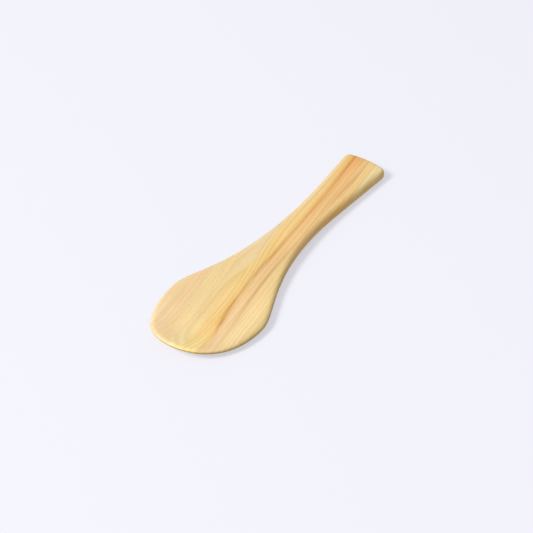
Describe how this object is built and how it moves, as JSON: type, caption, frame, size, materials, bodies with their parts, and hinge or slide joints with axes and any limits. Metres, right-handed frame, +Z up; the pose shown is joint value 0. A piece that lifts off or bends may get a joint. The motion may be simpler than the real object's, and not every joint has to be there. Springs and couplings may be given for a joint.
{
  "type": "rice paddle",
  "caption": "Flat wooden rice paddle with an egg-shaped, shallowly dished blade, a narrow neck and a handle that flares to a square end, made of edge-glued staves.",
  "frame": {"origin": "under the middle of the paddle's bounding box, on the surface that it rests on", "axes": "+X along the paddle, from the tip of the blade to the end of the handle; +Y to the left across the blade; +Z up, out of the dished side"},
  "size_m": [0.2, 0.0628, 0.0095],
  "materials": {
    "pale_yellow_wood": "sanded, bare",
    "yellow_wood": "sanded, bare",
    "pinkish_wood": "sanded, bare",
    "golden_wood": "sanded, bare"
  },
  "bodies": {
    "root": {"stave_1_blade_edge": "pale_yellow_wood", "stave_1_handle_corner": "pale_yellow_wood", "stave_2_full_length": "yellow_wood", "stave_3_full_length": "pinkish_wood", "stave_4_full_length": "golden_wood", "stave_5_to_neck": "yellow_wood", "stave_6_to_shoulder": "pale_yellow_wood", "stave_7_blade": "pinkish_wood", "stave_8_blade_edge": "pinkish_wood"}
  },
  "joints": []
}
